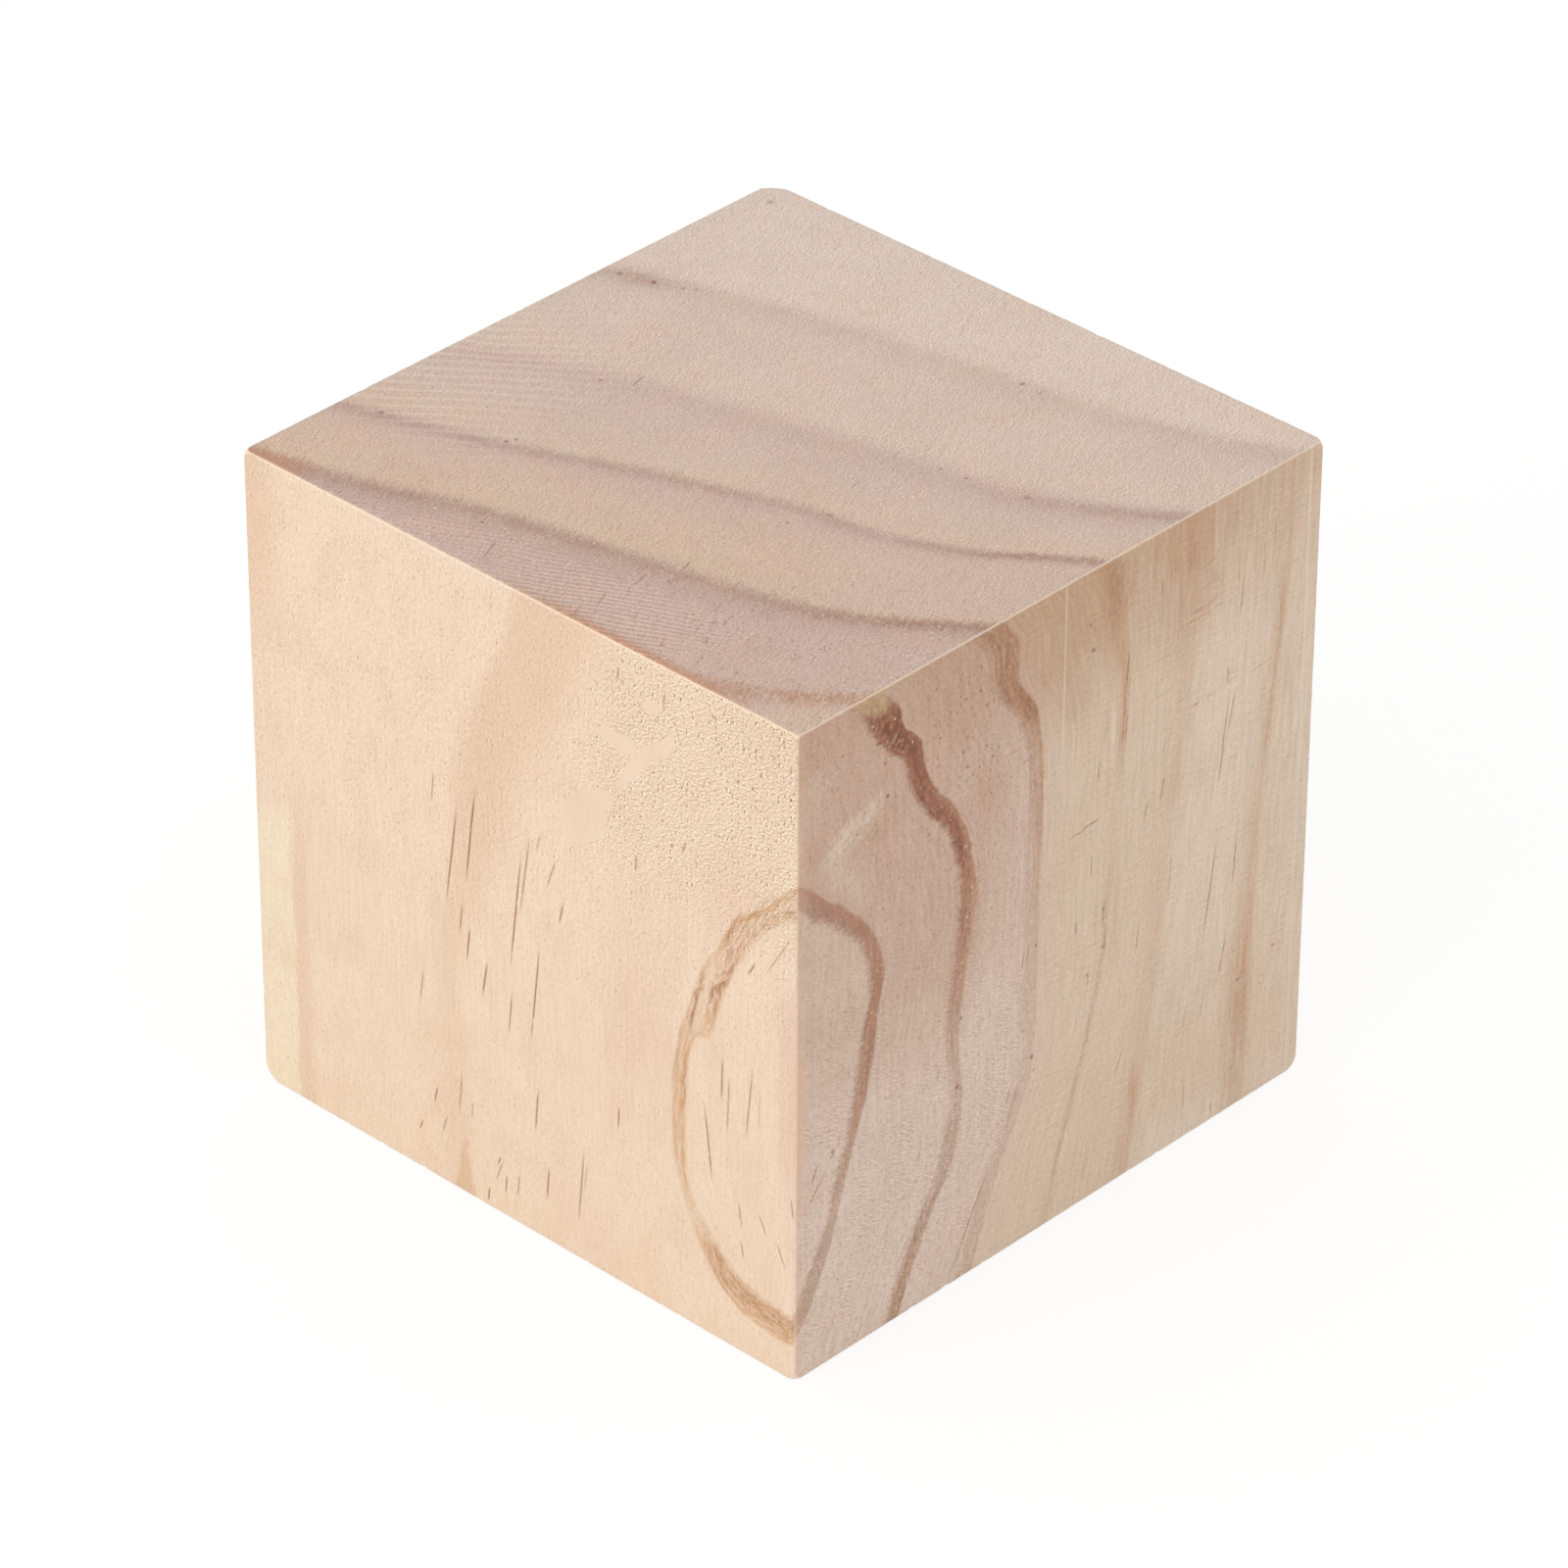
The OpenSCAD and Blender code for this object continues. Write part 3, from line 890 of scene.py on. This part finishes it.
# The marks of the left side run through to the right one, where they lie further back.
# They are placed from the back, as the left side is seen, and some are on the left alone
DRIFT_TO_BACK = 0.2
v = SIDE_MM - y + x * DRIFT_TO_BACK
upper = z.rise(20, 38)
by_left = x.fall(20, 30)
streak_left = curve(
    z,
    [(0, 21), (12, 20.4), (24, 20.6), (30, 22), (36, 23), (42, 23.8), (46, 24.8), (50, 26.5), (54, 28.5),
     (60, 30)],
)
streak_right = curve(
    z, [(0, 24), (18, 23.8), (24, 24), (30, 24.5), (36, 26), (42, 28), (48, 31), (54, 34), (60, 37)]
)
v_soft = v + cloud.swing(2.5) + mottle.swing(0.6)
streak = (v_soft - streak_left).rise(-1.2, 1.2) * (v_soft - streak_right).fall(-0.6, upper * 5 + 0.7)
streak = streak * curve(z, [(0, 0.5), (10, 0.5), (30, 0.7), (40, 1), (52, 1), (60, 0.95)])
left = Coat(over(CREAM, PEACH, streak))
wedge = abs(v - 23.5 + mottle.swing(0.6)) - (6.5 - z) * 0.22
left.lay(WEDGE_TAN, wedge.fall(-0.6, 0.2) * z.fall(5, 6.8) * 0.6)
straw = (v_soft - z * -0.012).fall(4.1, 4.5) * (z - v * 0.9).fall(24, 27)
left.lay(STRAW, straw * 0.9)
left.lay(PEACH, v_soft.band(4.2, 4.6, 5.3, 7) * z.fall(20, 34) * 0.8)
left.lay(PEACH, v.fall(1, 5) * z.rise(36, 54) * 0.9)
rosy_corner = ellipse(v, z, (54, 43), (5, 7)).higher(ellipse(v, z, (58, 58), (7, 8)))
rosy_strip = (v + mottle.swing(1.5)).rise(57.6, 58.8) * z.band(14, 22, 34, 38) * by_left
for patch, level in [
    (ellipse(v, z, (43.5, 27), (7, 17)), 0.5),
    (ellipse(v, z, (52, 40), (4, 9)), 0.45),
    (ellipse(v + z * 0.3, z, (38.6, 1), (5, 13)), 0.35),
    (rosy_corner, 0.4),
    (rosy_strip, 0.8),
]:
    left.lay(ROSE, patch * level)
left.lay(PEACH, (warmth - 0.46) * 1.6)

# The loop: mottled at its top, two thin bands below, then a thick dark foot
fill = by_angle([
    (-90, 0.85), (-62, 0.85), (-50, 0.75), (-43, 0.45), (-36, 0.25), (-28, 0.3), (0, 0.5), (10, 0.45),
    (18, 0.4), (34, 0.35), (44, 0.45), (55, 0.5), (90, 0.5),
])
streaky = loop_fibre.rise(0.35, 0.62)
left.lay(OCHRE, in_loop * fill * (streaky * 0.4 + 0.35))
rim_out = loop_out.band(-0.7, -0.35, -0.15, 0.15)
rim_out = rim_out * by_angle([
    (-90, 0.1), (-45, 0.15), (-32, 0.3), (-20, 0.5), (0, 0.5), (12, 0.3), (40, 0.3), (50, 0.7), (90, 0.6),
])
rim_in = loop_in.band(-0.3, 0.2, 0.3, 1.0)
rim_in = rim_in * by_angle([
    (-90, 0), (-44, 0.1), (-34, 0.4), (-20, 0.7), (0, 0.7), (12, 0.3), (18, 0.6), (40, 0.5), (60, 0.3),
    (90, 0.5),
])
foot = (loop_in + fray.swing(1.5)).rise(-0.6, 0.5) * loop_in.fall(0.9, 2.6) * angle.fall(-52, -40)
scored = noise(turned("X", -28), 0.26, (1, 1, 5), 1.0, 88.0).fall(0.36, 0.52)
crown = in_loop * angle.rise(38, 46) * scored
left.lay(OCHRE, rim_out.higher(rim_in) * (streaky * 0.5 + 0.45))
left.lay(shade(FOOT_BROWN, knotty), foot * (streaky * 0.3 + 0.3))
left.lay(CROWN_BROWN, crown * 0.4)
# Painted glints on the loop's foot
left.lay(SCUFF_AND_HIGHLIGHT, foot * glint * 0.5)
LOOP_STRIPES = [
    (50.4, 35, 48.6, 28, 1), (49.4, 33, 48.6, 27, 0.6), (52.2, 36.4, 50.2, 29.4, 0.8),
    (52.8, 36.4, 51, 30, 1), (54.3, 38.4, 51.9, 33, 0.8), (53.4, 38.4, 52.5, 36, 0.7),
    (51.6, 34, 50.6, 31, 0.7), (47.2, 26, 46.8, 21, 0.5), (48.3, 26, 48, 20, 0.6),
    (57.6, 45, 55.4, 41.6, 0.9), (54.4, 41.8, 52, 37.6, 0.6), (59.4, 44.2, 58.4, 43.2, 0.9),
]
stripes = strokes(v + fray.swing(0.8), z, LOOP_STRIPES, 0.45) * loop_fibre.rise(0.3, 0.6) * by_left
left.lay(STRIPE_BROWN, stripes * 0.6)

LEFT_CANALS = [
    (20.7, 39.3, 20.4, 36.3, 0.6), (23.4, 37.8, 21.8, 27, 0.9), (25.6, 40.2, 24.1, 30, 1),
    (23.7, 28.2, 23.4, 25.2, 0.7), (24.5, 26.4, 24.1, 22.8, 0.9), (30.6, 36.6, 28.9, 24, 0.9),
    (31.6, 38.6, 30.2, 30, 0.7), (32.7, 38.6, 32.3, 37.2, 0.6), (34.4, 37.2, 33.3, 34, 0.6),
    (35.1, 33.6, 34.6, 31.4, 0.8), (32.4, 28.6, 31.2, 18, 0.9), (26.4, 24, 25.8, 20.4, 0.9),
    (29.1, 22.4, 28.7, 18, 0.8), (19.2, 19.8, 18.7, 16.2, 0.6), (20.5, 9, 20.1, 7.4, 0.9),
    (32.1, 14.6, 31.7, 9.9, 0.8), (37, 11.4, 36.3, 3.2, 0.7), (33.1, 7.4, 32.8, 4, 0.8),
    (27.9, 5.4, 27, 3, 0.6), (40.9, 17, 40.8, 15, 0.9), (21.6, 6.6, 21, 4.8, 0.6),
    (18.6, 4.8, 18.3, 3.9, 0.8), (50.3, 22.2, 51.3, 14.6, 0.8), (52.2, 27.4, 52.1, 23, 0.8),
    (52.9, 26, 52.7, 20, 0.6), (55.4, 28, 54.6, 20.4, 0.6), (54, 14.4, 54.4, 12, 0.6),
    (54.3, 10.8, 54.6, 9.3, 0.6), (56.1, 14.4, 57, 12.6, 0.6), (58, 12.6, 59, 10.5, 0.6),
    (59.4, 41.6, 56.6, 37, 0.5), (55.6, 37.6, 54.9, 36.2, 0.8), (23.4, 12, 23, 7.6, 0.6),
    (26.2, 2, 26, 0.6, 0.9), (46.1, 57.8, 46, 56.4, 0.8), (41.3, 57.9, 41.2, 56.7, 0.8),
    (29.8, 5, 29.5, 2.6, 0.6), (28.3, 4.2, 28.1, 2.4, 0.8), (27.6, 5.6, 27.3, 4.8, 0.8),
    (37.3, 10, 37, 7.2, 0.4), (24.6, 9.5, 24.4, 7.8, 0.5), (43, 41.6, 42.9, 40.2, 0.9),
    (48.3, 45.2, 48, 44.2, 0.8), (56.1, 26, 56, 22, 0.3), (59.5, 17.6, 59.8, 15.6, 0.6),
]
canals = strokes(v + wander.swing(0.6), z, LEFT_CANALS, 0.16) * fray.rise(0.1, 0.45)
left.lay(CANAL_BROWN, canals)

smooth = 0
wavy_v = v + cloud.swing(5) + mottle.swing(1.5)
for across, up, middle, size in [
    (wavy_v - z, v + z, (-6.9, 94.5), (1.3, 7.5)),
    (wavy_v, z, (41, 51.2), (2.2, 0.9)),
    (wavy_v - z, v + z, (-6.2, 82), (1.5, 5)),
    (v + mottle.swing(0.8), z + v * -0.4, (37.4, 27.6), (2.6, 2.6)),
    (wavy_v - z, z, (-11.4, 55.9), (1.3, 0.8)),
]:
    smooth = (ellipse(across, up, middle, size, 0.4) * by_left).higher(smooth)
torn = v.rise(33, 43) * z.rise(36, 45) * (v - z * 0.6).rise(1, 10) * (1 - smooth)
torn = torn * (1 - ellipse(v, z, (54, 41), (6, 7)) * 0.5) * by_left
leather = relief(spot, 0.17, (0, 0.05, 0.1), (1, 1.6, 1), 61.0)
pits = noise(spot, 1.3, (1, 1, 1), 1.0, 66.0)
patchy = pits.rise(0.3, 0.65) * (warmth.rise(0.35, 0.6) * 0.5 + 0.4)
left.lay(STRAW, torn * 0.15)
# Painted light and shade of the torn grain's bumps, a little darker overall where it is torn
rough = leather * (torn * 0.85 + patchy * upper * 0.2 + 0.16) - torn * 0.05
left.shade(rough * (1 - smooth * 0.9))
# Dark specks, each with a painted highlight beside it
dark_speck, speck_highlight = specks(v, z, 0.6, 1.4, 0.7, 0.22, 7.0)
dents = (1 - smooth) * (patchy * (upper * 0.5 + 0.3) + torn * 0.95 + 0.2)
left.lay(PITCH, dark_speck * dents * 0.6)
left.lay(SCUFF_AND_HIGHLIGHT, speck_highlight * dents * 0.7)
grain = fibre.swing(0.22) + cloud.swing(0.06) + grit.swing(upper * 0.2 + 0.24)
left.shade(grain * (1 - smooth * 0.8))
by_corner = ellipse(v, z, (58, 56), (12, 14))
ticked = pits.rise(0.4, 0.6) * (torn * 0.5 + 0.15) + by_corner * 0.6
left.lay(PITCH, ticks * (1 - smooth) * ticked)
# Painted highlight on the eased edges, over lighter worn fibres, stronger where an edge faces up
left.lay(WORN_EDGE_AND_HIGHLIGHT, edge * (by_end * 0.5 + 0.25))


# The two ends, cut across the fibres and left from the saw. The rings show as plum
# lines that darken slowly and stop, with yellower wood after each.
END_PLUM = srgb(160, 124, 110)
END_BROWN = srgb(160, 112, 84)
END_WARM = srgb(228, 186, 156)
END_COOL = srgb(206, 186, 174)
END_DUSKY = srgb(208, 181, 166)
END_BURNT = srgb(190, 138, 106)
END_SMUDGE = srgb(174, 148, 130)
END_GLOW = srgb(192, 142, 108)
CORNER_BROWN = srgb(182, 134, 102)
SAWN_PALE = srgb(236, 216, 202)
END_PITCH = srgb(130, 76, 52)
RINGS_SHOWN = len(rings)
END_STOPS = [
    (0, srgb(208, 180, 160)), (0.16, srgb(205, 177, 162)), (0.30, srgb(203, 175, 162)),
    (0.345, srgb(213, 185, 161)), (0.42, srgb(212, 183, 163)), (0.49, srgb(204, 177, 164)),
    (0.51, srgb(213, 187, 167)), (0.6, srgb(208, 184, 170)), (0.655, srgb(207, 183, 170)),
    (0.68, srgb(216, 193, 176)), (0.8, srgb(214, 192, 178)), (0.85, srgb(221, 201, 186)),
    (1, srgb(220, 200, 187)),
]
ends = Coat(spot.node("ShaderNodeValToRGB", {"stops": END_STOPS}, {"Fac": count / RINGS_SHOWN}))
ends.lay(END_WARM, warmth.rise(0.48, 0.7) * 0.14)
ends.lay(END_COOL, warmth.fall(0.36, 0.5) * 0.12)
smudge = noise(spot, 2.2, (1, 1, 1), 2.0, 37.0) * 1.2 + 0.4
streaked = noise(turned("Z", -28), 0.3, (3.5, 1, 1), 2.0, 52.0)
past_2_end = past_2 + curve(y, [(0, 0.6), (3, 0.9), (7, 0.7), (14, 0.4), (40, 0.1), (46, 0.5), (60, 0.4)])
past_3_end = past_3 - curve(y, [(0, 0), (14, 0), (24, 0.7), (38, 0.6), (46, 0), (60, 0)])
past_4_end = past_4 + 1

# Each ring line: widths of its core and of the shadow before it, its strength towards
# the back, and how brown it is by the front
for past, core, halo, level, brown in [
    (past_2_end, 1.6, 3.5, [(0, 0.65), (5, 0.75), (20, 0.7), (30, 0.72), (45, 0.72), (60, 0.78)], 0.8),
    (past_3_end, 0.8, 1.8, [(0, 0.75), (5, 0.8), (8, 0.6), (13, 0.5), (20, 0.52), (28, 0.62), (42, 0.6),
                            (50, 0.55), (60, 0.5)], 0.8),
    (past_4_end, 2.2, 2.4, [(0, 0.5), (3, 0.44), (8, 0.34), (14, 0.2), (30, 0.12), (60, 0.1)], 0.4),
    (past_5, 2.6, 2, [(0, 0.28), (20, 0.18), (34, 0.16), (46, 0.22), (54, 0.2), (60, 0.18)], 0.1),
]:
    past = past + streaked.swing(2)
    strength = curve(y, level) * smudge
    line = past.band(-core - 0.7, -core * 0.3, -0.9, 0.7)
    shadow = past.band(-core - halo, -core * 0.8, -0.5, 1.2)
    ends.lay(END_PLUM, shadow * strength * 0.35)
    ends.lay(END_PLUM, line * strength * 0.65)
    ends.lay(END_BROWN, line * strength * y.fall(4, 16) * mottle.rise(0.35, 0.55) * brown)
ends.lay(END_DUSKY, past_2.rise(0, 1) * past_3.fall(-3, 0) * y.fall(6, 20) * 0.9)
burnt = past_2_end.band(-3, -1.6, 0, 0.8) * y.rise(52, 56)
ends.lay(END_BURNT, burnt * 0.65)
ends.lay(END_BROWN, ellipse(x + y * 0.3, y, (57.6, 56.8), (1.8, 4)) * smudge * 0.3)
ends.lay(END_SMUDGE, ellipse(past_5, y, (-0.5, 58.5), (3.5, 9)) * smudge * 0.3)
glow = x.fall(0.3, 1.6) * y.band(2, 12, 22, 34)
ends.lay(END_GLOW, glow * 0.8)
corner_band = (past_1 + mottle.swing(2.5)).rise(-3, -1) * (past_1 + fray.swing(2)).fall(-0.5, 1)
corner_band = corner_band * y.fall(8, 14) * (streaked * 2.4 - 0.55)
ends.lay(CORNER_BROWN, corner_band * smudge * 0.8)
ends.lay(STRAW, past_1.fall(-4, -2.5) * y.fall(5, 10) * 0.12)

# Marks of the saw that cut the block off, in arcs about the saw's middle; rows of cells
# along the rings, by the heart; and the rays across them
SAW_MIDDLE = (95, 110, 0)
SAW_PITCH = 1.2
ROW_PITCH = 0.64
ROW_LEAN = 0.51
flat = spot.join(x, y, 0.0)
arc = flat.vector("DISTANCE", flat, SAW_MIDDLE, output="Value")
arc = arc * (2 * pi / SAW_PITCH) + cloud * 8
kerf = arc.maths("SINE", arc) * (mottle * 0.6 + 0.2) + 0.5
kerf_area = y.rise(38, 56) * x.fall(24, 42) * x.rise(8, 14)
rowwise = (x + y * ROW_LEAN + wander.swing(0.9)) * (2 * pi / ROW_PITCH)
rows = rowwise.maths("SINE", rowwise) * (mottle * 0.6 + 0.6)
row_area = x.fall(5, 9) * y.rise(11, 18) * past_2_end.fall(-3.5, -1.5) * (y.fall(26, 36) * 0.6 + 0.4)
ray_way = turned("Z", -24)
rays = relief(ray_way, 0.18, (0, 0.09, 0), (2.4, 1, 3), 3.0)
bundles = noise(ray_way, 0.5, (4, 1, 4), 2.0, 13.0)
# The rays as painted light and shade of fine ridges, over the wood's own tone
grain = rays * (count.rise(3, 4) * 0.12 + 0.5 - row_area * 0.2) + bundles.swing(0.2)
grain = grain + rows * row_area * 0.17 + cloud.swing(0.1)
ends.shade(grain + grit.swing(0.42) - kerf_area * 0.01)
ends.lay(SAWN_PALE, kerf.rise(0.5, 1) * kerf_area * 0.3)
cracks = noise(ray_way, 0.3, (4, 1, 4), 1.0, 91.0).fall(0.28, 0.38)
ends.lay(END_BROWN, cracks * (count.fall(1.8, 3) * 0.2 + 0.16))
END_CANALS = [
    (11.4, 56.2, 0.35, 0.8), (15.1, 45.9, 0.25, 0.8), (15.8, 45.6, 0.25, 0.7), (21.6, 21.6, 0.3, 0.5),
    (27, 47.3, 0.3, 0.6), (24.6, 20, 0.35, 0.5), (41.1, 55.2, 0.4, 0.9), (40.2, 58.2, 0.35, 0.7),
    (42, 52.8, 0.3, 0.5), (42.6, 51.9, 0.3, 0.6), (49.8, 22.8, 0.3, 0.8), (37.2, 10.8, 0.3, 0.6),
    (35.7, 18.6, 0.25, 0.5), (36, 16.2, 0.25, 0.6), (5.2, 38.6, 0.25, 0.7), (7.2, 15.6, 0.25, 0.5),
    (2.2, 16.2, 0.25, 0.6), (57.3, 57.6, 0.4, 0.5), (9, 22.2, 0.22, 0.6),
]
END_RAYS = [
    (34.4, 0.6, 36, 4.4, 0.7), (23.6, 2.6, 24.6, 4.8, 0.7), (13.8, 4.4, 14.4, 5.3, 0.8),
    (14.8, 7.2, 15.2, 8.6, 0.7), (16.5, 8.1, 17, 9.3, 0.6), (22.5, 10.8, 23.1, 12.3, 0.7),
    (23.7, 6.9, 24.2, 8.6, 0.7), (44.8, 28, 45.3, 30, 0.9), (17.9, 11.4, 18.3, 13.2, 0.6),
    (24, 0.4, 24.5, 1.8, 0.6), (21.6, 28.6, 21.9, 30, 0.6), (20.7, 49.4, 21, 50.2, 0.7),
    (22.2, 33.9, 22.8, 35.7, 0.4), (32.4, 19.4, 33.2, 21, 0.5), (12.4, 1.8, 13, 3.4, 0.5),
]
dark_speck, speck_highlight = specks(x, y, 0.8, 1.0, 0.5, 0.2, 19.0)
dots_and_rays = dots(x + fray.swing(0.6), y, END_CANALS).higher(strokes(y, x, END_RAYS, 0.13))
ends.lay(END_PITCH, dots_and_rays * fray.rise(0.2, 0.4) * 0.8)
ends.lay(END_BROWN, (dark_speck * 0.5).higher(ticks) * (count.fall(1.8, 2.4) * 0.34 + 0.16))
# Painted highlights beside the specks, and painted glints
ends.lay(SCUFF_AND_HIGHLIGHT, speck_highlight * 0.3 + glint * 0.4)
# Painted highlight on the eased edges, over lighter worn fibres
ends.lay(WORN_EDGE_AND_HIGHLIGHT, edge * 0.5)


DENT = 0.05 * MM
DULL = 0.6


def skin(colour, height, strength):
    """Bare wood of a colour, with a faint roughness you can feel."""
    values = {"Strength": strength, "Distance": DENT, "Height": height}
    dents = spot.node("ShaderNodeBump", inputs=values)
    values = {"Base Color": colour, "Roughness": DULL, "Normal": dents}
    return spot.node("ShaderNodeBsdfPrincipled", inputs=values)


front_skin = skin(front.colour, grit, 0.15)
left_skin = skin(left.colour, leather, 0.15)
ends_skin = skin(ends.colour, rays, 0.25)
sides = spot.node("ShaderNodeMixShader", inputs={0: tilt_x.rise(*NEXT_SKIN), 1: front_skin, 2: left_skin})
whole = spot.node("ShaderNodeMixShader", inputs={0: tilt_z.rise(*NEXT_SKIN), 1: sides, 2: ends_skin})
spot.node("ShaderNodeOutputMaterial", inputs={"Surface": whole})

block = bpy.data.objects.new("softwood_block", sawn_blank(SIDE, CELLS))
scene.collection.objects.link(block)
shaping = block.modifiers.new("shape", "NODES")
shaping.node_group = shaped_block(softwood)
VALUES = {
    "Side": SIDE,
    "Edge round": EDGE_ROUND,
    "Flatness": FLATNESS,
    "Crease": CREASE,
    "Ragged": RAGGED,
    "Seed": 7.0,
}
VALUES.update({name + " wear": Vector(wear) * MM for name, (_, wear) in WEAR.items()})
for socket in shaping.node_group.interface.items_tree:
    if socket.name in VALUES:
        shaping[socket.identifier] = VALUES[socket.name]
solid = bpy.data.meshes.new_from_object(block.evaluated_get(bpy.context.evaluated_depsgraph_get()))
block.modifiers.clear()
block.data = solid
solid.name = "softwood_block"
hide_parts("wooden_cube")
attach(block, "root")
